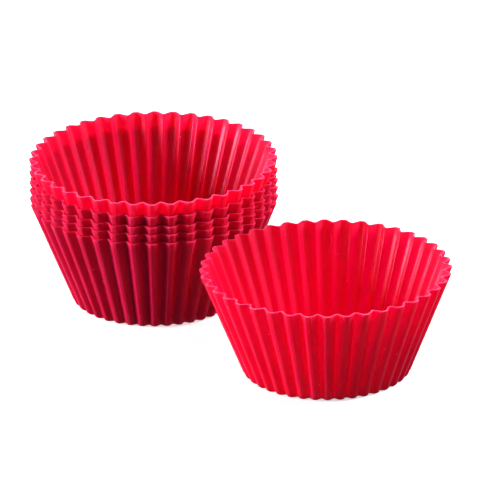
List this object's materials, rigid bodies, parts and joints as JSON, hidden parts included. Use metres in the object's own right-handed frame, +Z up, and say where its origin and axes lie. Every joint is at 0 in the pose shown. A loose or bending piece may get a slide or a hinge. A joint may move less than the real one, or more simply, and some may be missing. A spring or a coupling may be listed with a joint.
{
  "type": "silicone muffin cup set",
  "caption": "Round fluted baking cups of red silicone with tapered pleated walls and flat bases, nested in a stack with a loose cup standing beside it.",
  "frame": {"origin": "centre of the stack's base, on the surface it stands on", "axes": "+Z up, along the axis of every cup; +X from the stack's axis to the loose cup's axis"},
  "size_m": [0.141, 0.07, 0.0418],
  "materials": {
    "red_silicone": "matte moulded silicone"
  },
  "bodies": {
    "nested_cup_1": {"nested_cup_1": "red_silicone"},
    "nested_cup_2": {"nested_cup_2": "red_silicone"},
    "nested_cup_3": {"nested_cup_3": "red_silicone"},
    "nested_cup_4": {"nested_cup_4": "red_silicone"},
    "nested_cup_5": {"nested_cup_5": "red_silicone"},
    "loose_cup": {"loose_cup": "red_silicone"}
  },
  "joints": [
    {"name": "nested_cup_2_lift", "type": "slide", "parent": "nested_cup_1", "child": "nested_cup_2", "axis": [0, 0, 1], "range_m": [0, 0.035]},
    {"name": "nested_cup_3_lift", "type": "slide", "parent": "nested_cup_2", "child": "nested_cup_3", "axis": [0, 0, 1], "range_m": [0, 0.035]},
    {"name": "nested_cup_4_lift", "type": "slide", "parent": "nested_cup_3", "child": "nested_cup_4", "axis": [0, 0, 1], "range_m": [0, 0.035]},
    {"name": "nested_cup_5_lift", "type": "slide", "parent": "nested_cup_4", "child": "nested_cup_5", "axis": [0, 0, 1], "range_m": [0, 0.035]},
    {"name": "loose_cup_lift", "type": "slide", "parent": "nested_cup_1", "child": "loose_cup", "axis": [0, 0, 1], "range_m": [0, 0.045]}
  ]
}
